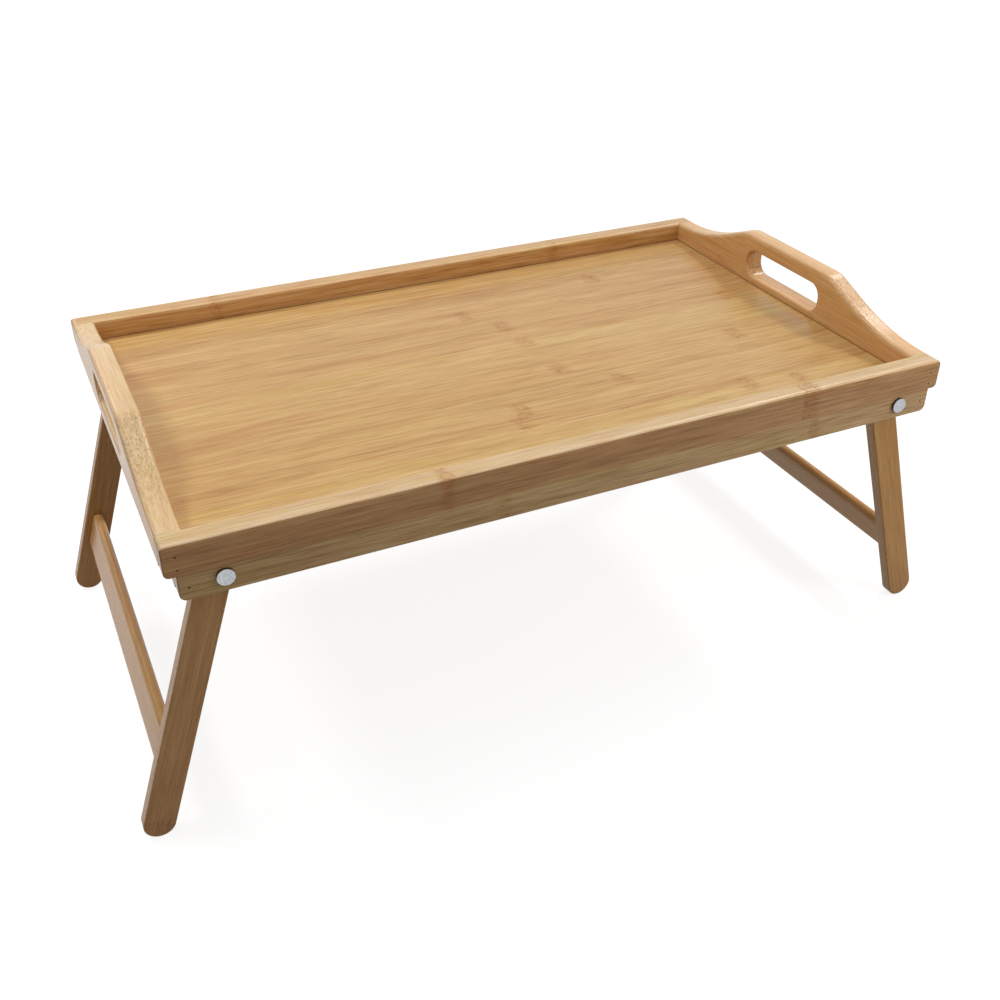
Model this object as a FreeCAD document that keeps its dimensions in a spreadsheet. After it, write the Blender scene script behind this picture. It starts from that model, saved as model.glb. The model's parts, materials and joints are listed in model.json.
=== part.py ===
"""Bed tray table in laminated bamboo: a shallow tray with a handle board at each end, on two leg
frames that fold flat under it.

X runs along the tray, Y from the front to the back, +Z up. The origin is on the floor, under the
middle of the tray. Each body is drawn in its own frame: tray pieces from the rim's top, leg pieces
from their pivot.
"""

import FreeCAD, Part
import math
import os

import Sketcher

SIZES = {
    # tray
    "tray_length": 500.0,
    "tray_width": 304.0,
    "rail_thickness": 14.0,
    "rim_depth": 19.5,  # the upper, full-length part of a long rail
    "rim_corner_radius": 3.0,  # lower corners of the rim's ends
    "apron_depth": 15.7,  # the lower part, which stops short of the ends
    "apron_inset": 6.0,
    "apron_corner_radius": 4.0,
    "round_over": 3.0,  # top edges, all round the rim and over the handle boards
    "arris": 0.8,  # other edges
    # handle boards
    "handle_thickness": 14.4,
    "handle_rise": 22.6,
    "handle_top_length": 96.5,
    "handle_end_flat": 33.5,  # level with the rim, beyond the foot of each slope
    "shoulder_radius": 26.0,
    "sweep_radius": 170.0,  # of the hollow that leads from the rim into a slope
    "slot_length": 84.0,
    "slot_height": 20.0,
    "slot_rise": 1.4,  # the slot's middle above the rim
    "slot_corner_radius": 8.8,
    "slot_arris": 1.7,
    # panel
    "panel_thickness": 2.4,
    "panel_drop": 13.4,  # from the rim's top to the panel's face
    "groove_depth": 5.0,
    "groove_clearance": 0.1,
    "panel_edge_gap": 0.5,
    # legs
    "leg_width": 19.0,
    "leg_thickness": 8.8,
    "leg_reach": 182.3,  # from the pivot to the middle of the round foot
    "leg_arris": 1.0,
    "splay": 18.2,  # degrees outwards from upright
    "pivot_inset": 30.2,  # from the tray's end to the pivot
    "fold_gap": 0.3,  # between a leg and the panel above it
    "stop_gap": 0.2,  # between an open leg and the end rail that stops it
    # crossbars
    "crossbar_drop": 139.0,
    "crossbar_height": 26.5,
    "crossbar_thickness": 7.5,
    "crossbar_offset": 1.1,  # outwards from the leg's middle line
    "mortise_depth": 6.0,
    "glue_gap": 0.05,
    # pivots
    "bolt_diameter": 5.0,
    "bolt_head_diameter": 10.0,
    "bolt_head_height": 2.0,
    "head_edge_radius": 0.5,
    "bolt_tail": 1.0,
    "hole_clearance": 0.1,
    "running_clearance": 0.05,
    "thread_clearance": 0.02,
    "spacer_diameter": 12.0,
    "spacer_thickness": 0.5,
    "side_play": 0.1,
    "washer_diameter": 10.0,
    "washer_thickness": 1.0,
    "nut_width": 8.0,
    "nut_height": 4.7,
    # nails
    "nail_diameter": 1.2,
    "nail_length": 25.0,
    "nail_set": 0.3,
    "nail_clearance": 0.01,
    "first_nail_drop": 7.5,
    "second_nail_drop": 15.5,
}

doc = FreeCAD.newDocument("BedTrayTable")
sheet = doc.addObject("Spreadsheet::Sheet", "Sizes")
for row, (alias, number) in enumerate(SIZES.items(), 1):
    sheet.set(f"A{row}", alias)
    sheet.set(f"B{row}", str(number))
    sheet.setAlias(f"B{row}", alias)
doc.recompute()

# Sizes that follow from the sheet, as expressions
S = "Sizes."
HALF_LENGTH = f"{S}tray_length / 2"
HALF_WIDTH = f"{S}tray_width / 2"
RAIL_DEPTH = f"({S}rim_depth + {S}apron_depth)"
INNER_HALF_LENGTH = f"({HALF_LENGTH} - {S}handle_thickness)"
INNER_HALF_WIDTH = f"({HALF_WIDTH} - {S}rail_thickness)"
HANDLE_X = f"({HALF_LENGTH} - {S}handle_thickness / 2)"
SLOPE_FOOT = f"({INNER_HALF_WIDTH} - {S}handle_end_flat)"
HALF_SLOPE = f"(atan({S}handle_rise / ({SLOPE_FOOT} - {S}handle_top_length / 2)) / 2)"
# the hollow at a slope's foot ends just before the board does
MOST_OF_END_FLAT = 0.99
SWEEP_RADIUS = (
    f"min({S}sweep_radius; {MOST_OF_END_FLAT} * {S}handle_end_flat / tan({HALF_SLOPE}))"
)
APRON_HALF_LENGTH = f"({HALF_LENGTH} - {S}apron_inset)"
GROOVE_TOP = f"({S}panel_drop - {S}groove_clearance)"
GROOVE_BOTTOM = f"({S}panel_drop + {S}panel_thickness + {S}groove_clearance)"
LEG_RADIUS = f"{S}leg_width / 2"
PIVOT_X = f"({HALF_LENGTH} - {S}pivot_inset)"
PIVOT_DROP = f"({S}panel_drop + {S}panel_thickness + {S}fold_gap + {LEG_RADIUS})"
PIVOT_Z = f"({LEG_RADIUS} + {S}leg_reach * cos({S}splay))"
RIM_Z = f"({PIVOT_Z} + {PIVOT_DROP})"
LEG_Y = (
    f"({INNER_HALF_WIDTH} - {S}spacer_thickness - {S}side_play - {S}leg_thickness / 2)"
)
# the end rail's inner face meets the edge of a leg that is open to its splay
STOP_X = (
    f"({PIVOT_X} + (({LEG_RADIUS} + {S}stop_gap)"
    f" + ({RAIL_DEPTH} - {PIVOT_DROP}) * sin({S}splay)) / cos({S}splay))"
)
END_RAIL_X = f"(({STOP_X} + {APRON_HALF_LENGTH}) / 2)"
END_RAIL_THICKNESS = f"({APRON_HALF_LENGTH} - {STOP_X})"
END_NAIL_DROP = f"({S}rim_depth + {S}apron_depth / 2)"
NAIL_DEPTH = f"({S}nail_length + {S}nail_set - {S}rail_thickness)"
CROSSBAR_RADIUS = f"{S}crossbar_thickness / 2"
CROSSBAR_HALF_SPAN = f"({S}crossbar_height / 2 - {CROSSBAR_RADIUS})"
CROSSBAR_LENGTH = f"(2 * ({LEG_Y} - {S}leg_thickness / 2 + {S}mortise_depth - {S}glue_gap))"
WASHER_Y = (
    f"({S}rail_thickness + {S}spacer_thickness + {S}leg_thickness + 2 * {S}side_play)"
)
NUT_Y = f"({WASHER_Y} + {S}washer_thickness)"
BOLT_END_Y = f"({NUT_Y} + {S}nut_height + {S}bolt_tail)"

# A body's own planes, by their role
FRONT_PLANE = "XZ_Plane"  # across is +X, up is +Z, and it faces -Y
END_PLANE = "YZ_Plane"  # across is +Y, up is +Z, and it faces +X
TOP_PLANE = "XY_Plane"  # across is +X, up is +Y, and it faces +Z
ROOT = (-1, 1)


def value(expression):
    """The number that an expression of sheet sizes gives now."""
    result = sheet.evalExpression(str(expression))
    return float(getattr(result, "Value", result))


def new_body(label):
    body = doc.addObject("PartDesign::Body", label)
    body.Label = label
    return body


def place(piece, across, deep, up, turn="0", axis=(0, 0, 1)):
    """Puts a piece's own origin at a point, turned about an axis through it."""
    piece.Placement = FreeCAD.Placement(
        FreeCAD.Vector(value(across), value(deep), value(up)),
        FreeCAD.Rotation(FreeCAD.Vector(*axis), value(turn)),
    )
    piece.setExpression("Placement.Base.x", across)
    piece.setExpression("Placement.Base.y", deep)
    piece.setExpression("Placement.Base.z", up)
    if turn != "0":
        piece.setExpression("Placement.Rotation.Angle", turn)


def new_sketch(body, name, plane, offset="0", shift="0"):
    """A sketch on one of the body's own planes, moved along the plane's normal by offset and
    across by shift."""
    sketch = body.newObject("Sketcher::SketchObject", name)
    for feature in body.Origin.OriginFeatures:
        if feature.Role == plane:
            sketch.AttachmentSupport = [(feature, "")]
    sketch.MapMode = "FlatFace"
    if offset != "0":
        sketch.setExpression("AttachmentOffset.Base.z", offset)
    if shift != "0":
        sketch.setExpression("AttachmentOffset.Base.x", shift)
    return sketch


def fix_point(sketch, geometry, point, across, up):
    """Ties a point of the sketch to a place given by two expressions."""
    for kind, expression in (("DistanceX", across), ("DistanceY", up)):
        rule = Sketcher.Constraint(
            kind, *ROOT, geometry, point, value(expression)
        )
        index = sketch.addConstraint(rule)
        sketch.setExpression(f"Constraints[{index}]", expression)


def outline(body, name, plane, corners, offset="0"):
    """A closed outline of straight lines through corners, each an (across, up) pair."""
    sketch = new_sketch(body, name, plane, offset)
    points = [FreeCAD.Vector(value(a), value(b), 0) for a, b in corners]
    for start, end in zip(points, points[1:] + points[:1]):
        sketch.addGeometry(Part.LineSegment(start, end), False)
    for index, (across, up) in enumerate(corners):
        after = (index + 1) % len(corners)
        sketch.addConstraint(Sketcher.Constraint("Coincident", index, 2, after, 1))
        fix_point(sketch, index, 1, across, up)
    return sketch


def rectangle(body, name, plane, left, bottom, right, top, offset="0"):
    corners = [(left, bottom), (right, bottom), (right, top), (left, top)]
    return outline(body, name, plane, corners, offset)


def circles(body, name, plane, centres, radius, offset="0"):
    sketch = new_sketch(body, name, plane, offset)
    normal = FreeCAD.Vector(0, 0, 1)
    for across, up in centres:
        centre = FreeCAD.Vector(value(across), value(up), 0)
        circle = sketch.addGeometry(Part.Circle(centre, normal, value(radius)), False)
        fix_point(sketch, circle, 3, across, up)
        rule = sketch.addConstraint(
            Sketcher.Constraint("Radius", circle, value(radius))
        )
        sketch.setExpression(f"Constraints[{rule}]", radius)
    return sketch


def oblong(body, name, plane, across, top, bottom, radius, offset="0"):
    """An upright round-ended outline, between the middles of its two ends."""
    sketch = new_sketch(body, name, plane, offset)
    x, r = value(across), value(radius)
    normal = FreeCAD.Vector(0, 0, 1)
    arcs = []
    for middle, start in ((top, 0.0), (bottom, math.pi)):
        circle = Part.Circle(FreeCAD.Vector(x, value(middle), 0), normal, r)
        half_circle = Part.ArcOfCircle(circle, start, start + math.pi)
        arc = sketch.addGeometry(half_circle, False)
        fix_point(sketch, arc, 3, across, middle)
        rule = sketch.addConstraint(Sketcher.Constraint("Radius", arc, r))
        sketch.setExpression(f"Constraints[{rule}]", radius)
        arcs.append(arc)
    for side, upper_end, lower_end in ((-1, 2, 1), (1, 1, 2)):
        start = FreeCAD.Vector(x + side * r, value(top), 0)
        end = FreeCAD.Vector(x + side * r, value(bottom), 0)
        line = sketch.addGeometry(Part.LineSegment(start, end), False)
        for point, arc, end in ((1, arcs[0], upper_end), (2, arcs[1], lower_end)):
            sketch.addConstraint(Sketcher.Constraint("Tangent", line, point, arc, end))
    return sketch


def cove(body, name, plane, radius, offset, shift):
    """What a round-over takes off an edge: a square corner at the sketch's own origin, less a
    quarter circle that meets both its sides."""
    sketch = new_sketch(body, name, plane, offset, shift)
    r = value(radius)
    corner = FreeCAD.Vector(0, 0, 0)
    circle = Part.Circle(FreeCAD.Vector(-r, -r, 0), FreeCAD.Vector(0, 0, 1), r)
    arc = sketch.addGeometry(Part.ArcOfCircle(circle, 0.0, math.pi / 2), False)
    upright = Part.LineSegment(FreeCAD.Vector(0, -r, 0), corner)
    level = Part.LineSegment(corner, FreeCAD.Vector(-r, 0, 0))
    side = sketch.addGeometry(upright, False)
    top = sketch.addGeometry(level, False)
    sketch.addConstraint(Sketcher.Constraint("Tangent", side, 1, arc, 1))
    sketch.addConstraint(Sketcher.Constraint("Coincident", side, 2, top, 1))
    sketch.addConstraint(Sketcher.Constraint("Tangent", top, 2, arc, 2))
    sketch.addConstraint(Sketcher.Constraint("Vertical", side))
    sketch.addConstraint(Sketcher.Constraint("Horizontal", top))
    sketch.addConstraint(Sketcher.Constraint("Coincident", side, 2, *ROOT))
    rule = sketch.addConstraint(Sketcher.Constraint("Radius", arc, r))
    sketch.setExpression(f"Constraints[{rule}]", radius)
    return sketch


def pad(body, name, sketch, length, midplane=False, reverse=False):
    feature = body.newObject("PartDesign::Pad", name)
    feature.Profile = sketch
    feature.setExpression("Length", length)
    feature.Midplane = midplane
    feature.Reversed = reverse
    sketch.Visibility = False
    doc.recompute()
    return feature


def pocket(body, name, sketch, length=None, midplane=False, reverse=False):
    """Cuts a sketch out of the body, through all of it if no length is given."""
    before = body.Shape.Volume
    feature = body.newObject("PartDesign::Pocket", name)
    feature.Profile = sketch
    if length is None:
        feature.Type = "ThroughAll"
    else:
        feature.setExpression("Length", length)
    feature.Midplane = midplane
    feature.Reversed = reverse
    sketch.Visibility = False
    doc.recompute()
    if body.Shape.Volume >= before:
        raise ValueError(f"{body.Label}: {name} cuts nothing")
    return feature


def turned_cut(body, name, sketch):
    """Cuts a sketch out of the body all the way round the sketch's upright axis."""
    before = body.Shape.Volume
    feature = body.newObject("PartDesign::Groove", name)
    feature.Profile = sketch
    feature.ReferenceAxis = (sketch, ["V_Axis"])
    feature.Angle = 360
    sketch.Visibility = False
    doc.recompute()
    if body.Shape.Volume >= before:
        raise ValueError(f"{body.Label}: {name} cuts nothing")
    return feature


def fillet(body, name, radius, chosen):
    """Rounds the edges of the body's tip for which chosen(edge) is true."""
    tip = body.Tip
    edges = [f"Edge{i}" for i, edge in enumerate(tip.Shape.Edges, 1) if chosen(edge)]
    if not edges:
        raise ValueError(f"{body.Label}: {name} finds no edge")
    feature = body.newObject("PartDesign::Fillet", name)
    feature.Base = (tip, edges)
    feature.setExpression("Radius", radius)
    doc.recompute()
    return feature


def flat_at(edge, axis, place_on_axis):
    """Whether an edge lies all at one coordinate of an axis."""
    box = edge.BoundBox
    low, high = getattr(box, axis + "Min"), getattr(box, axis + "Max")
    return abs(low - place_on_axis) < 1e-4 and abs(high - place_on_axis) < 1e-4


def runs_along(edge, axis):
    """Whether an edge is straight and parallel to an axis."""
    box = edge.BoundBox
    others = [other for other in "XYZ" if other != axis]
    return all(getattr(box, other + "Length") < 1e-4 for other in others)


def nail_centres(side):
    """Where the nails of one end go in a rail's outer face: two in the handle board above the
    end rail's one."""
    return [
        (f"{side} * {HANDLE_X}", f"-{S}first_nail_drop"),
        (f"{side} * {HANDLE_X}", f"-{S}second_nail_drop"),
        (f"{side} * {END_RAIL_X}", f"-{END_NAIL_DROP}"),
    ]


NAIL_RADIUS = f"({S}nail_diameter / 2 + {S}nail_clearance)"
LEFT, RIGHT = -1, 1
FRONT, BACK = -1, 1
SIDE_NAMES = {LEFT: "left", RIGHT: "right"}
END_NAMES = {FRONT: "front", BACK: "back"}


def make_rail(label, end):
    """A long rail, drawn as the front one with its outer face on the plane Y = 0. The back one
    is the same piece turned round."""
    body = new_body(label)
    rim = rectangle(
        body, "Rim", FRONT_PLANE,
        f"-{HALF_LENGTH}", f"-{S}rim_depth", HALF_LENGTH, "0",
    )
    pad(body, "RimPad", rim, f"{S}rail_thickness", reverse=True)
    low = -value(f"{S}rim_depth")
    fillet(body, "RimCorners", f"{S}rim_corner_radius",
           lambda edge: runs_along(edge, "Y") and flat_at(edge, "Z", low))
    fillet(body, "OuterRoundOver", f"{S}round_over",
           lambda edge: flat_at(edge, "Z", 0)
           and (runs_along(edge, "Y") or flat_at(edge, "Y", 0)))
    fillet(body, "RimArris", f"{S}arris",
           lambda edge: runs_along(edge, "Z") and flat_at(edge, "Y", 0))

    # on the tray side the round-over stops at the handle boards, and turns with theirs
    inside = cove(body, "InnerRoundOver", END_PLANE, f"{S}round_over", "0",
                  f"{S}rail_thickness")
    pocket(body, "InnerRoundOverCut", inside, f"2 * {INNER_HALF_LENGTH}", midplane=True)
    for side in (LEFT, RIGHT):
        name = SIDE_NAMES[side].capitalize() + "InnerCorner"
        corner = cove(body, name, END_PLANE, f"{S}round_over",
                      f"{side} * {INNER_HALF_LENGTH}", f"{S}rail_thickness")
        turned_cut(body, name + "Cut", corner)

    # the apron reaches up into the rim past its eased lower edge
    apron = rectangle(
        body, "Apron", FRONT_PLANE,
        f"-{APRON_HALF_LENGTH}", f"-{RAIL_DEPTH}",
        APRON_HALF_LENGTH, f"{S}arris - {S}rim_depth",
    )
    pad(body, "ApronPad", apron, f"{S}rail_thickness", reverse=True)
    bottom = -value(RAIL_DEPTH)
    fillet(body, "ApronCorners", f"{S}apron_corner_radius",
           lambda edge: runs_along(edge, "Y") and flat_at(edge, "Z", bottom))
    fillet(body, "ApronArris", f"{S}arris",
           lambda edge: runs_along(edge, "X") and flat_at(edge, "Z", bottom))

    groove = rectangle(
        body, "Groove", FRONT_PLANE,
        f"-({INNER_HALF_LENGTH} + {S}groove_depth)", f"-{GROOVE_BOTTOM}",
        f"{INNER_HALF_LENGTH} + {S}groove_depth", f"-{GROOVE_TOP}",
        offset=f"{S}groove_depth - {S}rail_thickness",
    )
    pocket(body, "GrooveCut", groove, f"{S}groove_depth")
    pivots = circles(
        body, "PivotHoles", FRONT_PLANE,
        [(f"{side} * {PIVOT_X}", f"-{PIVOT_DROP}") for side in (LEFT, RIGHT)],
        f"({S}bolt_diameter / 2 + {S}hole_clearance)",
    )
    pocket(body, "PivotHolesCut", pivots)
    nails = circles(
        body, "NailHoles", FRONT_PLANE,
        nail_centres(LEFT) + nail_centres(RIGHT), NAIL_RADIUS,
    )
    pocket(body, "NailHolesCut", nails)
    turn = "0" if end == FRONT else "180"
    place(body, "0", f"{end} * {HALF_WIDTH}", RIM_Z, turn)
    return body


def cut_nail_holes(body, across_middle, drops):
    """Blind nail holes in both end faces of a board that stands between the long rails."""
    centres = [(across_middle, f"-{drop}") for drop in drops]
    for end in (FRONT, BACK):
        holes = circles(
            body, END_NAMES[end].capitalize() + "NailHoles", FRONT_PLANE,
            centres, NAIL_RADIUS, offset=f"{-end} * {INNER_HALF_WIDTH}",
        )
        pocket(body, END_NAMES[end].capitalize() + "NailHolesCut", holes,
               NAIL_DEPTH, reverse=end == BACK)


def make_handle_board(label, side):
    """A handle board, drawn as the right one with its middle on X = 0. The left one is the same
    piece turned round."""
    body = new_body(label)
    top, rise = f"{S}handle_top_length / 2", f"{S}handle_rise"
    profile = outline(
        body, "Profile", END_PLANE,
        [
            (f"-{INNER_HALF_WIDTH}", f"-{S}rim_depth"),
            (INNER_HALF_WIDTH, f"-{S}rim_depth"),
            (INNER_HALF_WIDTH, "0"),
            (SLOPE_FOOT, "0"),
            (top, rise),
            (f"-{top}", rise),
            (f"-{SLOPE_FOOT}", "0"),
            (f"-{INNER_HALF_WIDTH}", "0"),
        ],
    )
    pad(body, "ProfilePad", profile, f"{S}handle_thickness", midplane=True)
    foot_y, top_z = value(SLOPE_FOOT), value(rise)
    fillet(body, "Sweeps", SWEEP_RADIUS,
           lambda edge: runs_along(edge, "X") and flat_at(edge, "Z", 0)
           and abs(abs(edge.BoundBox.YMin) - foot_y) < 1e-4)
    fillet(body, "Shoulders", f"{S}shoulder_radius",
           lambda edge: runs_along(edge, "X") and flat_at(edge, "Z", top_z))
    half = value(f"{S}handle_thickness") / 2
    fillet(body, "RoundOver", f"{S}round_over",
           lambda edge: (flat_at(edge, "X", half) or flat_at(edge, "X", -half))
           and edge.BoundBox.ZMin > -1e-4
           and edge.BoundBox.YLength > 1e-4)

    slot = rectangle(
        body, "Slot", END_PLANE,
        f"-{S}slot_length / 2", f"{S}slot_rise - {S}slot_height / 2",
        f"{S}slot_length / 2", f"{S}slot_rise + {S}slot_height / 2",
    )
    pocket(body, "SlotCut", slot, f"2 * {S}handle_thickness", midplane=True)
    fillet(body, "SlotCorners", f"{S}slot_corner_radius",
           lambda edge: runs_along(edge, "X")
           and abs(edge.BoundBox.YMin) < value(f"{S}slot_length / 2") + 1e-4
           and edge.BoundBox.ZMax < value(f"{S}slot_rise + {S}slot_height / 2") + 1e-4)
    fillet(body, "SlotArris", f"{S}slot_arris",
           lambda edge: (flat_at(edge, "X", half) or flat_at(edge, "X", -half))
           and edge.BoundBox.ZMin > -value(f"{S}rim_depth") + 1e-4
           and abs(edge.BoundBox.YMin) < value(f"{S}slot_length / 2") + 1e-4
           and abs(edge.BoundBox.YMax) < value(f"{S}slot_length / 2") + 1e-4
           and edge.BoundBox.ZMax < value(f"{S}slot_rise + {S}slot_height / 2") + 1e-4)
    groove = rectangle(
        body, "Groove", FRONT_PLANE,
        f"-{S}handle_thickness / 2", f"-{GROOVE_BOTTOM}",
        f"{S}groove_depth - {S}handle_thickness / 2", f"-{GROOVE_TOP}",
    )
    pocket(body, "GrooveCut", groove, f"2 * {INNER_HALF_WIDTH}", midplane=True)
    cut_nail_holes(body, "0", [f"{S}first_nail_drop", f"{S}second_nail_drop"])
    turn = "0" if side == RIGHT else "180"
    place(body, f"{side} * {HANDLE_X}", "0", RIM_Z, turn)
    return body


def make_end_rail(label, side):
    """The lower rail under a handle board. An open leg stops against its inner edge."""
    body = new_body(label)
    section = rectangle(
        body, "Section", FRONT_PLANE,
        f"-{END_RAIL_THICKNESS} / 2", f"-{RAIL_DEPTH}",
        f"{END_RAIL_THICKNESS} / 2", f"-{S}rim_depth",
    )
    pad(body, "SectionPad", section, f"2 * {INNER_HALF_WIDTH}", midplane=True)
    outer = value(f"{END_RAIL_THICKNESS} / 2")
    bottom = -value(RAIL_DEPTH)
    fillet(body, "Arris", f"{S}arris",
           lambda edge: flat_at(edge, "Z", bottom) and flat_at(edge, "X", outer))
    cut_nail_holes(body, "0", [END_NAIL_DROP])
    turn = "0" if side == RIGHT else "180"
    place(body, f"{side} * {END_RAIL_X}", "0", RIM_Z, turn)
    return body


def make_panel(label):
    body = new_body(label)
    length = f"({INNER_HALF_LENGTH} + {S}groove_depth - {S}panel_edge_gap)"
    width = f"({INNER_HALF_WIDTH} + {S}groove_depth - {S}panel_edge_gap)"
    sheet_outline = rectangle(
        body, "Outline", TOP_PLANE, f"-{length}", f"-{width}", length, width,
        offset=f"-({S}panel_drop + {S}panel_thickness)",
    )
    pad(body, "OutlinePad", sheet_outline, f"{S}panel_thickness")
    place(body, "0", "0", RIM_Z)
    return body


def make_leg(label, side, end):
    """A flat leg with round ends, drawn upright from its pivot. Its blind mortise for the
    crossbar opens towards the other leg of the frame."""
    body = new_body(label)
    blank = oblong(
        body, "Blank", FRONT_PLANE, "0", "0", f"-{S}leg_reach", LEG_RADIUS
    )
    pad(body, "BlankPad", blank, f"{S}leg_thickness", midplane=True)
    half = value(f"{S}leg_thickness") / 2
    fillet(body, "LegArris", f"{S}leg_arris",
           lambda edge: flat_at(edge, "Y", half) or flat_at(edge, "Y", -half))
    bore = circles(
        body, "PivotBore", FRONT_PLANE, [("0", "0")],
        f"({S}bolt_diameter / 2 + {S}running_clearance)",
    )
    pocket(body, "PivotBoreCut", bore, f"2 * {S}leg_thickness", midplane=True)
    mortise = oblong(
        body, "Mortise", FRONT_PLANE, f"{side} * {S}crossbar_offset",
        f"{CROSSBAR_HALF_SPAN} - {S}crossbar_drop",
        f"-{CROSSBAR_HALF_SPAN} - {S}crossbar_drop",
        f"({CROSSBAR_RADIUS} + {S}glue_gap)",
        offset=f"{end} * {S}leg_thickness / 2",
    )
    pocket(body, "MortiseCut", mortise, f"{S}mortise_depth", reverse=end == FRONT)
    place(body, f"{side} * {PIVOT_X}", f"{end} * {LEG_Y}", PIVOT_Z,
          f"{-side} * {S}splay", axis=(0, 1, 0))
    return body


def make_crossbar(label, side):
    """The bar between the two legs of a frame, drawn from the frame's pivot."""
    body = new_body(label)
    section = oblong(
        body, "Section", FRONT_PLANE, f"{side} * {S}crossbar_offset",
        f"{CROSSBAR_HALF_SPAN} - {S}crossbar_drop",
        f"-{CROSSBAR_HALF_SPAN} - {S}crossbar_drop", CROSSBAR_RADIUS,
    )
    pad(body, "SectionPad", section, CROSSBAR_LENGTH, midplane=True)
    place(body, f"{side} * {PIVOT_X}", "0", PIVOT_Z,
          f"{-side} * {S}splay", axis=(0, 1, 0))
    return body


def place_on_pivot(body, side, end):
    """Pivot pieces are drawn for the front, from the rail's outer face inwards along +Y."""
    turn = "0" if end == FRONT else "180"
    place(body, f"{side} * {PIVOT_X}", f"{end} * {HALF_WIDTH}", PIVOT_Z, turn)


def make_bolt(label, side, end):
    body = new_body(label)
    head, shank = f"{S}bolt_head_diameter / 2", f"{S}bolt_diameter / 2"
    half_section = outline(
        body, "HalfSection", TOP_PLANE,
        [
            ("0", f"-{S}bolt_head_height"),
            (head, f"-{S}bolt_head_height"),
            (head, "0"),
            (shank, "0"),
            (shank, BOLT_END_Y),
            ("0", BOLT_END_Y),
        ],
    )
    turned = body.newObject("PartDesign::Revolution", "Turned")
    turned.Profile = half_section
    turned.ReferenceAxis = (half_section, ["V_Axis"])
    turned.Angle = 360
    half_section.Visibility = False
    doc.recompute()
    face_y = -value(f"{S}bolt_head_height")
    fillet(body, "HeadEdge", f"{S}head_edge_radius",
           lambda edge: flat_at(edge, "Y", face_y))
    place_on_pivot(body, side, end)
    return body


def make_ring(label, side, end, start, thickness, diameter):
    """A washer on the pivot bolt, from start inwards."""
    body = new_body(label)
    disc = circles(
        body, "Disc", FRONT_PLANE, [("0", "0")], f"{diameter} / 2", offset=f"-({start})"
    )
    pad(body, "DiscPad", disc, thickness, reverse=True)
    hole = circles(
        body, "Hole", FRONT_PLANE, [("0", "0")],
        f"({S}bolt_diameter / 2 + {S}hole_clearance)",
    )
    pocket(body, "HoleCut", hole, f"4 * ({start} + {thickness})", midplane=True)
    place_on_pivot(body, side, end)
    return body


def make_nut(label, side, end):
    """A hexagonal nut with two of its flats level."""
    body = new_body(label)
    flat = f"{S}nut_width / 2"
    point = f"({S}nut_width / sqrt(3))"
    half_point = f"({S}nut_width / sqrt(3) / 2)"
    hexagon = outline(
        body, "Hexagon", FRONT_PLANE,
        [
            (point, "0"), (half_point, flat), (f"-{half_point}", flat),
            (f"-{point}", "0"), (f"-{half_point}", f"-{flat}"), (half_point, f"-{flat}"),
        ],
        offset=f"-({NUT_Y})",
    )
    pad(body, "HexagonPad", hexagon, f"{S}nut_height", reverse=True)
    thread = circles(
        body, "Thread", FRONT_PLANE, [("0", "0")],
        f"({S}bolt_diameter / 2 + {S}thread_clearance)",
    )
    pocket(body, "ThreadCut", thread, f"4 * ({BOLT_END_Y})", midplane=True)
    place_on_pivot(body, side, end)
    return body


def make_nails(label, end):
    """The nails of one long rail, as a group of separate solids."""
    nails = []
    for side in (LEFT, RIGHT):
        for across, up in nail_centres(side):
            nail = doc.addObject("Part::Cylinder", f"{label}_nail")
            nail.setExpression("Radius", f"{S}nail_diameter / 2")
            nail.setExpression("Height", f"{S}nail_length")
            place(nail, across, f"{end} * ({HALF_WIDTH} - {S}nail_set)",
                  f"{RIM_Z} + {up}", f"{end} * 90", axis=(1, 0, 0))
            nails.append(nail)
    group = doc.addObject("Part::Compound", label)
    group.Label = label
    group.Links = nails
    return group


nodes = []
for end in (FRONT, BACK):
    nodes.append(make_rail(f"{END_NAMES[end]}_rail", end))
    nodes.append(make_nails(f"{END_NAMES[end]}_rail_nails", end))
for side in (LEFT, RIGHT):
    nodes.append(make_handle_board(f"{SIDE_NAMES[side]}_handle_board", side))
    nodes.append(make_end_rail(f"{SIDE_NAMES[side]}_end_rail", side))
    nodes.append(make_crossbar(f"{SIDE_NAMES[side]}_crossbar", side))
nodes.append(make_panel("tray_panel"))
for side in (LEFT, RIGHT):
    for end in (FRONT, BACK):
        corner = f"{END_NAMES[end]}_{SIDE_NAMES[side]}"
        nodes.append(make_leg(f"{corner}_leg", side, end))
        nodes.append(make_bolt(f"{corner}_pivot_bolt", side, end))
        nodes.append(
            make_ring(f"{corner}_spacer", side, end, f"{S}rail_thickness",
                      f"{S}spacer_thickness", f"{S}spacer_diameter")
        )
        nodes.append(
            make_ring(f"{corner}_washer", side, end, WASHER_Y,
                      f"{S}washer_thickness", f"{S}washer_diameter")
        )
        nodes.append(make_nut(f"{corner}_nut", side, end))

doc.recompute()
for item in doc.Objects:
    if {"Invalid", "Error"} & set(item.State):
        raise ValueError(f"{item.Label} is {item.State}")
os.makedirs("parts", exist_ok=True)
for node in nodes:
    shape = node.Shape
    if shape.isNull() or not shape.isValid():
        raise ValueError(f"{node.Label} has no valid shape")
    shape.exportStep(f"parts/{node.Label}.step")
    print(f"{node.Label}: {len(shape.Solids)} solid(s), {shape.Volume:.0f} mm3")
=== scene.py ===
"""Looks of the bamboo bed tray table: its finishes, the floor, the light and the camera.

Metres, in the row frame: X along the tray, Y from front to back, +Z up, the floor at Z = 0. Inside
the bamboo finishes lengths are millimetres, because grain is thought of in millimetres.
"""

import json
import math
from collections import namedtuple

import bpy
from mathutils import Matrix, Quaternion, Vector


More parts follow.
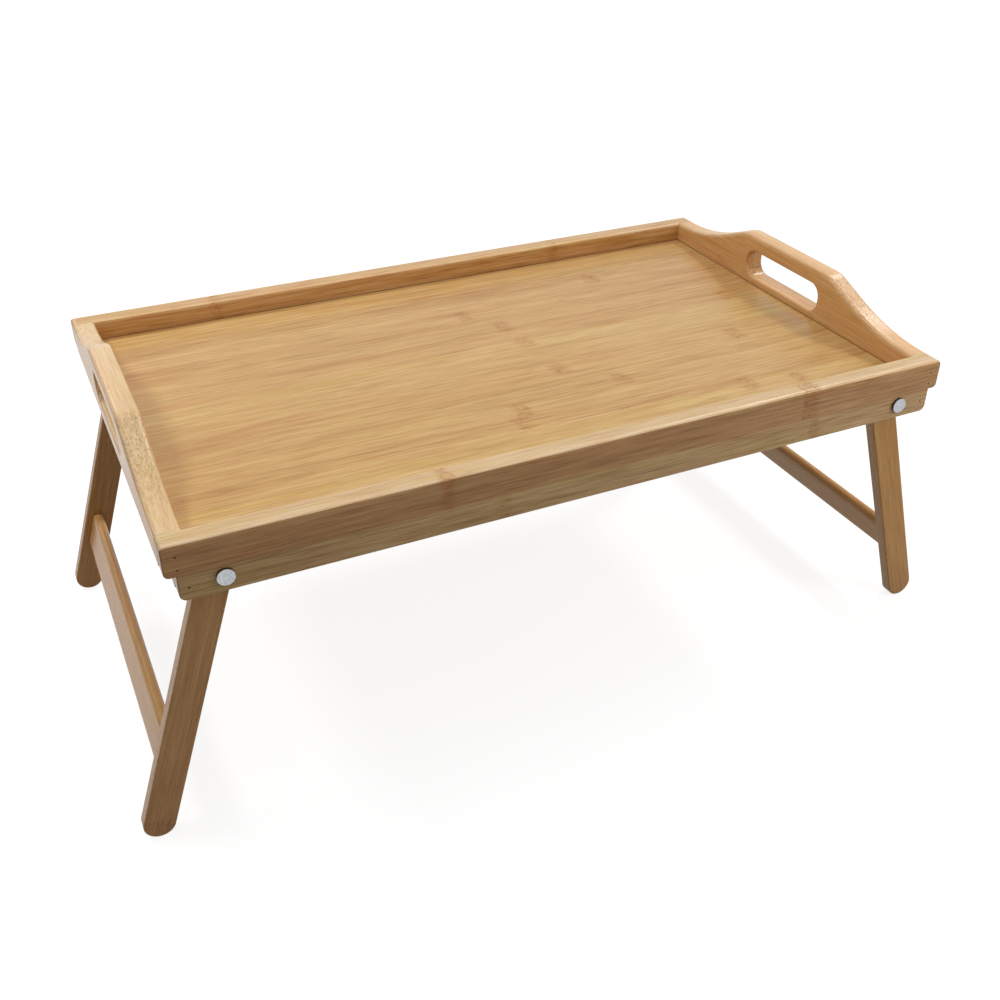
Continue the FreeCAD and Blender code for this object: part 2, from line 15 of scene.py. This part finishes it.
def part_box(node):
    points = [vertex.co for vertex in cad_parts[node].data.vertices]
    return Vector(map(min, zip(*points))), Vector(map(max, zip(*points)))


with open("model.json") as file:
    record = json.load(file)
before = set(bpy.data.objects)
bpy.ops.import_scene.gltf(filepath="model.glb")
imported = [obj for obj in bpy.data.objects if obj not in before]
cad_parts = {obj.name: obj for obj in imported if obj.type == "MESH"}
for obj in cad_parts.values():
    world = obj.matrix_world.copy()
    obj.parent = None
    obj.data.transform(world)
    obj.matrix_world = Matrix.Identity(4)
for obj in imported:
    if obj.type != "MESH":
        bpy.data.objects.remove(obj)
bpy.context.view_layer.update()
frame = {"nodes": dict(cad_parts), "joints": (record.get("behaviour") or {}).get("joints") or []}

# ---------------------------------------------------------------- places read from the frame

RIM_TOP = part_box("front_rail")[1].z
LEG_INSIDE = abs(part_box("front_left_leg")[1].y)  # the legs' inner faces, front and back
FOLD = {joint["child"]: joint for joint in frame["joints"]}


def splay_of(body):
    """How far a leg frame leans out from upright, in radians, from the limit where it lies flat."""
    return math.radians(FOLD[body]["range_deg"][1] - 90)


# ---------------------------------------------------------------- shader nodes in short calls

def srgb(red, green, blue):
    """A colour given as a screen shows it, 0 to 255, as the linear colour that shaders take."""
    def linear(channel):
        c = channel / 255
        return c / 12.92 if c <= 0.04045 else ((c + 0.055) / 1.055) ** 2.4
    return (linear(red), linear(green), linear(blue), 1.0)


class Finish:
    """A material's node tree."""

    def __init__(self, name):
        self.material = bpy.data.materials.new(name)
        self.material.use_nodes = True
        self.tree = self.material.node_tree
        self.tree.nodes.clear()
        self.output = self.add("ShaderNodeOutputMaterial")

    def add(self, kind, inputs=None, **settings):
        """A new node, with its own settings and with a value or a link for each named input."""
        node = self.tree.nodes.new(kind)
        for key, value in settings.items():
            setattr(node, key, value)
        for key, value in (inputs or {}).items():
            self.put(node.inputs[key], value)
        return node

    def put(self, socket, value):
        if isinstance(value, bpy.types.NodeSocket):
            self.tree.links.new(value, socket)
        else:
            socket.default_value = value

    def math(self, operation, *values):
        node = self.add("ShaderNodeMath", operation=operation)
        for socket, value in zip(node.inputs, values):
            self.put(socket, value)
        return node.outputs[0]

    def total(self, first, *others):
        for other in others:
            first = self.math("ADD", first, other)
        return first

    def times(self, first, *others):
        for other in others:
            first = self.math("MULTIPLY", first, other)
        return first

    def distance(self, first, second):
        return self.math("ABSOLUTE", self.math("SUBTRACT", first, second))

    def vector(self, x, y, z):
        return self.add("ShaderNodeCombineXYZ", {"X": x, "Y": y, "Z": z}).outputs[0]

    def parts(self, vector):
        """A vector's X, Y and Z."""
        return self.add("ShaderNodeSeparateXYZ", {"Vector": vector}).outputs

    def step(self, value, start, end, low=0.0, high=1.0):
        """Goes smoothly from low to high as value goes from start to end."""
        node = self.add(
            "ShaderNodeMapRange",
            {"Value": value, "From Min": start, "From Max": end, "To Min": low, "To Max": high},
            interpolation_type="SMOOTHSTEP",
        )
        return node.outputs["Result"]

    def random(self, place):
        """Three random numbers from 0 to 1 for each place."""
        node = self.add("ShaderNodeTexWhiteNoise", {"Vector": place})
        return self.add("ShaderNodeSeparateColor", {"Color": node.outputs["Color"]}).outputs

    def mix(self, factor, first, second, blend="MIX"):
        node = self.add("ShaderNodeMix", data_type="RGBA", blend_type=blend)
        for socket, value in zip((node.inputs[0], node.inputs[6], node.inputs[7]),
                                 (factor, first, second)):
            self.put(socket, value)
        return node.outputs[2]

    def ramp(self, factor, stops):
        """A colour ramp through (place, colour) stops."""
        node = self.add("ShaderNodeValToRGB", {"Fac": factor})
        elements = node.color_ramp.elements
        while len(elements) < len(stops):
            elements.new(0.5)
        for element, (place, colour) in zip(elements, stops):
            element.position = place
            element.color = colour
        return node.outputs["Color"]

    def mottle(self, scale, detail, dark, light):
        """Spots from 0 to 1, scale of them to a metre, and a colour between dark and light."""
        place = self.add("ShaderNodeTexCoord").outputs["Object"]
        spots = self.add(
            "ShaderNodeTexNoise", {"Vector": place, "Scale": scale, "Detail": detail}
        ).outputs["Fac"]
        return spots, self.ramp(spots, [(0.3, dark), (0.7, light)])

    def bump(self, height, distance):
        """A bump from a height of about 0 to 1, which stands for distance metres."""
        node = self.add(
            "ShaderNodeBump", {"Height": height, "Strength": 1.0, "Distance": distance}
        )
        return node.outputs["Normal"]

    def principled(self, **inputs):
        """Makes the surface. An input's name has underscores for its spaces."""
        inputs = {name.replace("_", " "): value for name, value in inputs.items()}
        shader = self.add("ShaderNodeBsdfPrincipled", inputs)
        self.surface(shader.outputs["BSDF"])

    def surface(self, shader):
        self.tree.links.new(shader, self.output.inputs["Surface"])


# ---------------------------------------------------------------- bamboo

MM = 1000.0  # to a metre

# Ways that the grain runs: which row axis lies along it, across its strips and through its layers
ALONG_TRAY = ("X", "Z", "Y")
ALONG_PANEL = ("X", "Y", "Z")
ACROSS_TRAY = ("Y", "Z", "X")
UPRIGHT = ("Z", "X", "Y")

# A noise pattern of the grain. Its cells are length millimetres long along the grain and width wide
# across it, and shift sets it apart from the other patterns
Pattern = namedtuple("Pattern", "length width shift detail roughness distortion", defaults=(0.0,))
CLOUDS = Pattern(150.0, 11.0, 3.1, 3, 0.55)
STREAKS = Pattern(60.0, 2.2, 7.7, 3, 0.6, distortion=0.1)
LINES = Pattern(30.0, 0.8, 1.3, 2, 0.65)
CASTS = Pattern(120.0, 4.5, 6.4, 3, 0.6)
DASHES = Pattern(16.0, 0.7, 5.9, 1, 0.5)
DOTS = Pattern(4.0, 0.8, 9.3, 2, 0.6)
WANDER = Pattern(7.0, 4.0, 8.8, 2, 0.6)
FLECKS = Pattern(3.2, 0.9, 2.2, 2, 0.6)

# How far strips, clouds, streaks and lines move the tone, whose whole range is 1
STRIP_TONE, CLOUD_TONE, STREAK_TONE, LINE_TONE = 0.2, 0.5, 0.54, 1.1
WANDER_REACH = 9.0  # how far a node of the cane strays along the grain, in millimetres
DASH_STRENGTH, DOT_STRENGTH = 0.5, 0.42  # of the vessels' brown

NODE_BROWN = srgb(146, 88, 46)
PORE_BROWN = srgb(112, 72, 40)
# This brown also paints the shade line where top faces turn into the faces beside them
GLUE_AND_PAINTED_SHADE_BROWN = srgb(120, 76, 40)

# Casts that multiply a colour
YELLOW_CAST = (0.97, 1.0, 0.80, 1.0)
RED_CAST = (1.0, 0.90, 0.84, 1.0)
FAINT_NODE = (0.96, 0.90, 0.84, 1.0)
PLAIN_NODE = (0.93, 0.82, 0.70, 1.0)
REDDER_STRIP = (0.88, 0.74, 0.65, 1.0)

# Dark, middle and light streaks of each kind of lamella, and the tones at which they come
# PALE, CREAM and AMBER are painted light: the paler colours of top faces, beside darker sides
PALE = (srgb(205, 166, 122), srgb(230, 199, 154), srgb(239, 217, 183))
CREAM = (srgb(194, 154, 108), srgb(219, 186, 140), srgb(231, 208, 170))
AMBER = (srgb(198, 150, 100), srgb(224, 181, 130), srgb(233, 202, 158))
GOLDEN = (srgb(162, 116, 66), srgb(194, 154, 98), srgb(214, 180, 124))
CARAMEL = (srgb(150, 100, 55), srgb(190, 143, 90), srgb(212, 174, 122))
RUSSET = (srgb(166, 112, 64), srgb(206, 154, 97), srgb(220, 180, 128))
HONEY = (srgb(188, 137, 82), srgb(220, 174, 116), srgb(230, 195, 146))
COPPER = (srgb(152, 99, 48), srgb(192, 141, 76), srgb(213, 172, 108))
TAN = (srgb(158, 120, 76), srgb(198, 161, 113), srgb(219, 190, 143))
STREAK_TONES = (0.1, 0.5, 0.9)

# A node of the cane at a place in a piece's grain, in millimetres, and how plainly it shows, 0 to 1
Node = namedtuple("Node", "u v half_length half_width strength")
ANY_WIDTH = 1000.0  # wider than every piece


class Bamboo(Finish):
    """Laminated bamboo. It is solid: the same strips and fibres show on every face of a piece, as
    streaks along the grain and as dots where a face cuts across it.

    axes is how the grain runs, and splay and pivot turn it with a leaning leg. strip is a strip's
    width and thickness, and offset shifts the strips. seed sets the pattern.
    colours are the dark, middle and light streaks of its faces, and painted_light_colours those of
    its faces that look across the strips, such as a rail's top: painted light, paler than the faces
    beside them, with a painted shade line where they turn into them. strip_tints are casts of
    strips by number, on the faces.
    contrast is how far the streaks differ in tone, and hue_contrast how far they do in cast.
    pore_size is the width of the vessels' dashes. nodes are the marks of the cane's nodes, whose
    cast is node_tint. seam is (half length, half width) of a piece that others enclose, whose joint
    with them shows as a dark line. dark_ends draws the end grain that shows along a piece's last
    edges. gloss is the strength of the lacquer's reflection."""

    ROUGHNESS = 0.27
    GRAIN_DEPTH = 0.000025  # metres
    PAINTED_LIGHT_TURN = (0.56, 0.62)  # how far a face looks across the strips where the painted light of top faces begins

    def __init__(self, name, axes, colours, strip, offset, seed, painted_light_colours=None, strip_tints=(),
                 contrast=1.0, hue_contrast=1.0, pore_size=DASHES.width, nodes=(),
                 node_tint=FAINT_NODE, seam=None, dark_ends=False, splay=0.0, pivot=(0, 0, 0),
                 gloss=0.2):
        super().__init__(name)
        self.strip, self.seed = strip, seed
        self.place_in_grain(axes, offset, splay, pivot)
        self.find_strips()
        tone = self.tone(contrast)
        pores = self.pores(pore_size)
        knots, flecks = self.knots(nodes)
        glue_and_painted_shade = self.glue_lines()
        colour = self.streaked(tone, colours)
        for number, cast in strip_tints:
            same = self.math("COMPARE", self.index_v, number, 0.5)
            colour = self.mix(same, colour, cast, "MULTIPLY")
        # Painted light: faces that look across the strips, such as top faces, get paler colours,
        # and a painted shade line runs where they turn into the faces beside them
        if painted_light_colours:
            edge, painted_shade_line = self.edges()
            colour = self.mix(edge, colour, self.streaked(tone, painted_light_colours))
            glue_and_painted_shade = self.math("MAXIMUM", glue_and_painted_shade, painted_shade_line)
        if dark_ends:
            glue_and_painted_shade = self.math("MAXIMUM", glue_and_painted_shade, self.end_line())
        if seam:
            glue_and_painted_shade = self.math("MAXIMUM", glue_and_painted_shade, self.joint_line(*seam))
        colour = self.tint(colour, hue_contrast)
        colour = self.mix(pores, colour, PORE_BROWN)
        colour = self.mix(knots, colour, node_tint, "MULTIPLY")
        colour = self.mix(flecks, colour, NODE_BROWN)
        colour = self.mix(glue_and_painted_shade, colour, GLUE_AND_PAINTED_SHADE_BROWN)
        height = self.total(
            self.times(self.line, 0.6), self.times(self.streak, 0.6), self.times(pores, -1.0),
            self.times(flecks, -0.5), self.times(glue_and_painted_shade, -0.8),
        )
        rough = self.total(self.ROUGHNESS, self.times(self.streak, 0.2), self.times(pores, 0.2))
        self.principled(
            Base_Color=colour, Roughness=rough, Specular_IOR_Level=gloss,
            Normal=self.bump(height, self.GRAIN_DEPTH),
        )

    def place_in_grain(self, axes, offset, splay, pivot):
        """u runs along the grain, v across the strips and w through the layers, in millimetres."""
        coordinates = self.add("ShaderNodeTexCoord").outputs
        place = coordinates["Object"]
        if splay:
            place = self.add(
                "ShaderNodeVectorRotate",
                {"Vector": place, "Center": pivot, "Angle": splay}, rotation_type="Y_AXIS",
            ).outputs[0]
        parts = self.parts(place)
        self.u, self.across, deep = (self.times(parts[axis], MM) for axis in axes)
        self.v = self.total(self.across, offset[0])
        self.w = self.total(deep, offset[1])
        facing = self.parts(coordinates["Normal"])
        self.cut_across = self.math("ABSOLUTE", facing[axes[0]])
        self.edge_on = self.math("ABSOLUTE", facing[axes[1]])

    def noise(self, pattern):
        """A pattern's noise, about 0."""
        place = self.vector(
            self.total(self.times(self.u, 1 / pattern.length), self.seed + pattern.shift),
            self.times(self.v, 1 / pattern.width),
            self.times(self.w, 1 / pattern.width),
        )
        node = self.add(
            "ShaderNodeTexNoise",
            {"Vector": place, "Scale": 1.0, "Detail": pattern.detail,
             "Roughness": pattern.roughness, "Distortion": pattern.distortion},
        )
        return self.math("SUBTRACT", node.outputs["Fac"], 0.5)

    def find_strips(self):
        """Which strip a place is in, and three random numbers for each strip."""
        self.strip_v = self.times(self.v, 1 / self.strip[0])
        self.strip_w = self.times(self.w, 1 / self.strip[1])
        self.index_v = self.math("FLOOR", self.strip_v)
        index_w = self.math("FLOOR", self.strip_w)
        self.chance = self.random(self.vector(self.index_v, index_w, self.seed))

    def tone(self, contrast):
        """From 0, dark, to 1, light."""
        by_strip = self.times(self.math("SUBTRACT", self.chance[0], 0.5), STRIP_TONE)
        self.cloud = self.noise(CLOUDS)
        self.streak = self.noise(STREAKS)
        self.line = self.noise(LINES)
        return self.total(
            0.5, by_strip,
            self.times(self.cloud, CLOUD_TONE * contrast),
            self.times(self.streak, STREAK_TONE * contrast),
            self.times(self.line, LINE_TONE * contrast),
        )

    def streaked(self, tone, colours):
        return self.ramp(tone, list(zip(STREAK_TONES, colours)))

    def pores(self, width):
        """The dark short dashes of the vessels, and their dots where a face cuts across them."""
        dashes = self.noise(DASHES._replace(width=width))
        busy = self.step(self.cloud, -0.12, 0.15, low=0.35)
        dots = self.noise(DOTS)
        return self.math(
            "MAXIMUM",
            self.times(self.step(dashes, 0.12, 0.3, high=DASH_STRENGTH), busy),
            self.times(self.step(dots, -0.04, 0.14, high=DOT_STRENGTH),
                       self.step(self.cut_across, 0.06, 0.34)),
        )

    def knots(self, nodes):
        """How far the nodes of the cane tint the wood, and their flecks."""
        u = self.total(self.u, self.times(self.noise(WANDER), WANDER_REACH))
        bands = 0.0
        for node in nodes:
            band = self.times(
                self.step(self.distance(u, node.u), node.half_length * 0.3, node.half_length,
                          low=node.strength, high=0.0),
                self.step(self.distance(self.v, node.v), node.half_width - 1.2, node.half_width,
                          low=1.0, high=0.0),
            )
            bands = self.math("MAXIMUM", bands, band)
        flecks = self.step(self.noise(FLECKS), -0.02, 0.16, high=0.8)
        return bands, self.times(bands, flecks)

    def edges(self):
        """Painted light and shade: 1 on faces that look across the strips, such as a rail's top,
        which get paler colours than the faces beside them, and a painted shade line where those
        faces turn towards them.
        """
        edge = self.step(self.edge_on, *self.PAINTED_LIGHT_TURN)
        line = self.times(
            self.step(self.edge_on, 0.44, 0.55, high=0.4),
            self.step(self.edge_on, *self.PAINTED_LIGHT_TURN, low=1.0, high=0.0),
        )
        return edge, line

    def end_line(self):
        """End grain along the eased edges between a long face and an end."""
        return self.times(
            self.step(self.cut_across, 0.10, 0.35, high=0.7),
            self.step(self.cut_across, 0.70, 0.90, low=1.0, high=0.0),
            self.step(self.edge_on, 0.40, 0.60, low=1.0, high=0.0),
        )

    def joint_line(self, half_length, half_width):
        """A dark line along the joint round a rectangle in the middle of the tray."""
        along = self.math("SUBTRACT", half_length, self.math("ABSOLUTE", self.u))
        across = self.math("SUBTRACT", half_width, self.math("ABSOLUTE", self.across))
        return self.step(self.math("MINIMUM", along, across), 0.4, 1.7, low=0.85, high=0.0)

    def glue_lines(self):
        """A faint line where two strips meet."""
        lines = 0.0
        for place, width in ((self.strip_v, self.strip[0]), (self.strip_w, self.strip[1])):
            from_middle = self.distance(self.math("FRACT", place), 0.5)
            from_joint = self.times(self.math("SUBTRACT", 0.5, from_middle), width)
            line = self.step(from_joint, 0.05, 0.22, low=0.25, high=0.0)
            lines = self.math("MAXIMUM", lines, line)
        return lines

    def tint(self, colour, contrast):
        """A yellower or a redder cast, from strip to strip and along the grain."""
        cast = self.total(
            self.times(self.math("SUBTRACT", self.chance[1], 0.5), 0.6),
            self.times(self.noise(CASTS), 2.6),
        )
        yellow = self.step(cast, 0.0, 0.6, high=0.7 * contrast)
        red = self.step(cast, 0.0, -0.6, high=0.7 * contrast)
        colour = self.mix(yellow, colour, YELLOW_CAST, "MULTIPLY")
        return self.mix(red, colour, RED_CAST, "MULTIPLY")


# ---------------------------------------------------------------- the bamboo pieces

RAIL_STRIP = 19.5  # height of a rail's upper strip, from the rim's top to the glue line
UPPER, LOWER = -9.0, -27.5  # middles of a rail's two strips, from the rim's top
TRAY_INSIDE = (235.6, 138.0)  # half its length and width
PANEL_SHIFT = 4.0  # of the panel's strips, to the back

# Nodes of the cane that show in the panel, as (X, Y)
PANEL_NODES = (
    (-21, -92), (169, -114), (171, -38), (204, 22), (63, -65), (10, 68), (28, 40), (127, 93),
    (31, 11), (33, -35), (-14, -77), (133, -105),
)
# Heights of nodes in the legs, when a leg stands upright. The first is in its foot
LEG_NODES = {"front_left_leg": (-1.5,), "back_right_leg": (90.0,)}


def leg_grain(body):
    """The turn and the pivot that lay the row axes along a splayed leg frame."""
    lean = splay_of(body) * (-1 if body.startswith("left") else 1)
    return {"splay": lean, "pivot": FOLD[body]["pos_m"]}


def panel_and_rails():
    """The finish of each piece along the tray, by node name."""
    rail = {
        "axes": ALONG_TRAY, "strip": (RAIL_STRIP, 9.0), "offset": (-RIM_TOP * MM, 4.0),
        "dark_ends": True, "contrast": 1.4, "hue_contrast": 1.4,
    }
    # Painted light: the rails' top faces get paler colours than their sides
    return {
        "tray_panel": Bamboo(
            "bamboo_panel", ALONG_PANEL, GOLDEN, strip=(19.5, 9.0), offset=(PANEL_SHIFT, 0.0),
            seed=1.0, nodes=[Node(x, y + PANEL_SHIFT, 8.0, 9.0, 0.9) for x, y in PANEL_NODES],
            seam=TRAY_INSIDE,
        ),
        "front_rail": Bamboo(
            "bamboo_front_rail", colours=TAN, painted_light_colours=PALE, seed=4.0, **rail,
            strip_tints=((-1, REDDER_STRIP),), node_tint=PLAIN_NODE,
            nodes=(
                Node(-96.0, UPPER, 6.0, 11.0, 0.9), Node(-61.5, LOWER, 6.0, 8.0, 0.5),
                Node(143.0, UPPER, 2.2, 11.0, 1.0), Node(149.0, UPPER, 7.0, 11.0, 0.9),
                Node(153.0, LOWER, 5.0, 8.0, 0.8),
            ),
        ),
        "back_rail": Bamboo(
            "bamboo_back_rail", colours=RUSSET, painted_light_colours=AMBER, seed=9.0, **rail,
            nodes=(Node(-152.0, UPPER, 6.0, 11.0, 0.8), Node(118.0, UPPER, 6.0, 11.0, 0.6)),
        ),
    }


def end_and_legs(side, seed, painted_light_tops, bar, leg, bar_gloss):
    """The finish of each piece at one side of the tray, by node name. tops are the colours painted
    as light on the upper faces of the handle board and end rail, bar those of the crossbar and leg
    those of the legs."""
    # Painted light: the boards' top faces get paler colours than their sides
    board = {
        "axes": ACROSS_TRAY, "colours": HONEY, "painted_light_colours": painted_light_tops, "strip": (80.0, 7.2),
        "offset": (30.0 - RIM_TOP * MM, 3.0), "contrast": 0.8, "pore_size": 0.9, "gloss": 0.25,
    }
    grain = leg_grain(f"{side}_leg_frame")
    finishes = {
        f"{side}_handle_board": Bamboo(f"bamboo_{side}_handle", seed=seed, **board),
        f"{side}_end_rail": Bamboo(f"bamboo_{side}_end_rail", seed=seed + 1.0, **board),
        f"{side}_crossbar": Bamboo(
            f"bamboo_{side}_crossbar", ACROSS_TRAY, bar, strip=(60.0, 8.0), offset=(10.0, 0.0),
            seed=seed + 2.0, contrast=0.8, gloss=bar_gloss, seam=(LEG_INSIDE * MM, ANY_WIDTH),
            **grain,
        ),
    }
    for end, shift in (("front", 0.0), ("back", 0.5)):
        name = f"{end}_{side}_leg"
        finishes[name] = Bamboo(
            f"bamboo_{name}", UPRIGHT, leg, strip=(60.0, 9.5), offset=(10.0, 1.0),
            seed=seed + 3.0 + shift, contrast=0.8,
            nodes=[Node(u, 0.0, 7.5, ANY_WIDTH, 0.9) for u in LEG_NODES.get(name, ())],
            **grain,
        )
    return finishes


# ---------------------------------------------------------------- metal and nylon

def steel_finish():
    """Zinc-plated steel, a little mottled. The sides of heads and nuts are painted dark brown, a
    painted shade and reflection for the shadow at their rims and the dark wood they mirror.
    """
    finish = Finish("zinc_plated_steel")
    spots, colour = finish.mottle(700.0, 3.0, srgb(160, 163, 166), srgb(194, 197, 200))
    # Painted shade and reflection: faces turned sideways, the sides of heads and nuts, get a dark
    # brown
    facing = finish.parts(finish.add("ShaderNodeTexCoord").outputs["Normal"])["Y"]
    side = finish.step(finish.math("ABSOLUTE", facing), 0.2, 0.5, low=1.0, high=0.0)
    finish.principled(
        Base_Color=finish.mix(side, colour, srgb(92, 84, 76)), Metallic=1.0,
        Roughness=finish.total(0.34, finish.times(spots, 0.16)),
    )
    return finish.material


def nail_finish():
    """Nails gone brown under the lacquer."""
    finish = Finish("browned_nail")
    spots, colour = finish.mottle(1500.0, 2.0, srgb(70, 50, 34), srgb(98, 74, 52))
    finish.principled(
        Base_Color=colour, Roughness=finish.total(0.5, finish.times(spots, 0.2)),
        Specular_IOR_Level=0.2,
    )
    return finish.material


def nylon_finish():
    """Natural nylon, milky, with a faint moulded texture."""
    finish = Finish("natural_nylon")
    grain, colour = finish.mottle(2500.0, 2.0, srgb(226, 223, 212), srgb(236, 234, 226))
    finish.principled(
        Base_Color=colour, Roughness=finish.total(0.42, finish.times(grain, 0.15)),
        Normal=finish.bump(grain, 0.00001),
    )
    return finish.material


def dress():
    """Gives every node of the frame its finish."""
    bamboo = {
        **panel_and_rails(),
        **end_and_legs("left", 12.0, painted_light_tops=CREAM, bar=RUSSET, leg=CARAMEL, bar_gloss=0.2),
        **end_and_legs("right", 15.0, painted_light_tops=AMBER, bar=HONEY, leg=COPPER, bar_gloss=0.1),
    }
    steel, nylon, nail = steel_finish(), nylon_finish(), nail_finish()
    for name, node in frame["nodes"].items():
        if name in bamboo:
            material = bamboo[name].material
        elif name.endswith("_spacer"):
            material = nylon
        elif name.endswith("_nails"):
            material = nail
        else:
            material = steel
        for slot in node.material_slots:
            slot.material = material


# ---------------------------------------------------------------- floor, light and camera

FLOOR_SIZE = 40.0
FLOOR_SHADE = 0.30  # what the eye sees it throw back, which keeps the shadow faint
FLOOR_GLOW = 0.85  # what the eye sees besides, which makes it white
FLOOR_BOUNCE = (0.40, 0.38, 0.36, 1.0)  # what it throws back at the object
ZENITH_LIGHT, HORIZON_LIGHT = 0.60, 0.15
CAMERA_PLACE = Vector((-0.2952, -0.6396, 0.5351))
CAMERA_AIM = Vector((-0.0262, -0.0701, 0.1280))
CAMERA_ROLL = math.radians(0.21)
PICTURE_SIDE = 1000.0  # pixels
FOCAL_LENGTH = 1152.3  # pixels


def sees_directly(finish):
    """1 for the rays that show the stage to the eye, straight or in a mirror or glass."""
    path = finish.add("ShaderNodeLightPath").outputs
    seen = finish.math("MAXIMUM", path["Is Camera Ray"], path["Is Glossy Ray"])
    return finish.math("MAXIMUM", seen, path["Is Transmission Ray"])


def make_floor():
    """A white floor that keeps the object's shadow, and throws back little light of its own."""
    mesh = bpy.data.meshes.new("floor")
    half = FLOOR_SIZE / 2
    corners = [(-half, -half, 0), (half, -half, 0), (half, half, 0), (-half, half, 0)]
    mesh.from_pydata(corners, [], [(0, 1, 2, 3)])
    floor = bpy.data.objects.new("floor", mesh)
    bpy.context.scene.collection.objects.link(floor)
    finish = Finish("floor_white")
    seen = sees_directly(finish)
    shade = (FLOOR_SHADE, FLOOR_SHADE, FLOOR_SHADE, 1.0)
    white = finish.add("ShaderNodeBsdfDiffuse", {"Color": shade})
    glow = finish.add("ShaderNodeEmission", {"Color": (1, 1, 1, 1), "Strength": FLOOR_GLOW})
    shown = finish.add("ShaderNodeAddShader")
    finish.put(shown.inputs[0], white.outputs[0])
    finish.put(shown.inputs[1], glow.outputs[0])
    dim = finish.add("ShaderNodeBsdfDiffuse", {"Color": FLOOR_BOUNCE})
    both = finish.add("ShaderNodeMixShader", {"Fac": seen})
    finish.put(both.inputs[1], dim.outputs[0])
    finish.put(both.inputs[2], shown.outputs[0])
    finish.surface(both.outputs[0])
    floor.data.materials.append(finish.material)


class Surround(Finish):
    """The world's node tree, built with a material's short calls."""

    def __init__(self, world):
        world.use_nodes = True
        self.tree = world.node_tree
        self.tree.nodes.clear()
        self.output = self.add("ShaderNodeOutputWorld")


def make_world():
    """White where it is seen. Its own light is soft, from above more than from the sides."""
    world = bpy.data.worlds.new("studio")
    bpy.context.scene.world = world
    surround = Surround(world)
    height = surround.parts(surround.add("ShaderNodeTexCoord").outputs["Generated"])["Z"]
    up = surround.math("MAXIMUM", height, 0.0)
    light = surround.total(
        HORIZON_LIGHT, surround.times(up, up, ZENITH_LIGHT - HORIZON_LIGHT)
    )
    strength = surround.math("MAXIMUM", light, sees_directly(surround))
    background = surround.add(
        "ShaderNodeBackground", {"Color": (1, 1, 1, 1), "Strength": strength}
    )
    surround.surface(background.outputs[0])


def add_sun(name, towards, strength, spread):
    """A soft lamp far away, in the direction towards, that looks spread degrees wide. strength is
    what it adds on a level face."""
    direction = Vector(towards).normalized()
    sun = bpy.data.lights.new(name, "SUN")
    sun.energy = strength * math.pi / direction.z
    sun.angle = math.radians(spread)
    lamp = bpy.data.objects.new(name, sun)
    lamp.rotation_euler = direction.to_track_quat("Z", "Y").to_euler()
    bpy.context.scene.collection.objects.link(lamp)


def add_box(name, place, aim, size, power, mirrored=True):
    """A soft box: a rectangular lamp in metres and watts, at place and turned to aim. mirrored says
    if glossy faces show it."""
    box = bpy.data.lights.new(name, "AREA")
    box.shape = "RECTANGLE"
    box.size, box.size_y = size
    box.energy = power
    lamp = bpy.data.objects.new(name, box)
    lamp.location = place
    towards = Vector(aim) - Vector(place)
    lamp.rotation_euler = towards.to_track_quat("-Z", "Y").to_euler()
    lamp.visible_glossy = mirrored
    bpy.context.scene.collection.objects.link(lamp)


def make_lamps():
    """A soft box over the tray, which leaves its outer faces dim, and one low at the front right,
    whose mirror image would glare on the panel, seen from behind. A strip at the upper left and two
    small lights far behind draw the round edges."""
    add_box("overhead", place=(-0.01, 0.02, 0.88), aim=(0.0, 0.02, 0.2), size=(0.5, 0.4),
            power=1.35)
    add_box("front_right", place=(0.52, -0.48, 0.40), aim=(0.24, -0.15, 0.15), size=(0.25, 0.25),
            power=1.05, mirrored=False)
    add_box("left_strip", place=(-0.68, 0.25, 1.00), aim=(-0.10, 0.25, 0.2), size=(0.6, 0.2),
            power=3.0)
    add_sun("behind_right", towards=(0.57, 0.36, 0.74), strength=0.22, spread=9)
    add_sun("behind_left", towards=(-0.14, 0.89, 0.43), strength=0.02, spread=10)


def make_camera():
    """The photo's point of view."""
    data = bpy.data.cameras.new("camera")
    data.lens = data.sensor_width * FOCAL_LENGTH / PICTURE_SIDE
    data.clip_start = 0.01
    camera = bpy.data.objects.new("camera", data)
    camera.location = CAMERA_PLACE
    look = (CAMERA_AIM - CAMERA_PLACE).to_track_quat("-Z", "Y")
    camera.rotation_euler = (look @ Quaternion((0, 0, 1), CAMERA_ROLL)).to_euler()
    bpy.context.scene.collection.objects.link(camera)
    bpy.context.scene.camera = camera


dress()
make_floor()
make_world()
make_lamps()
make_camera()
bpy.context.scene.view_settings.view_transform = "Standard"
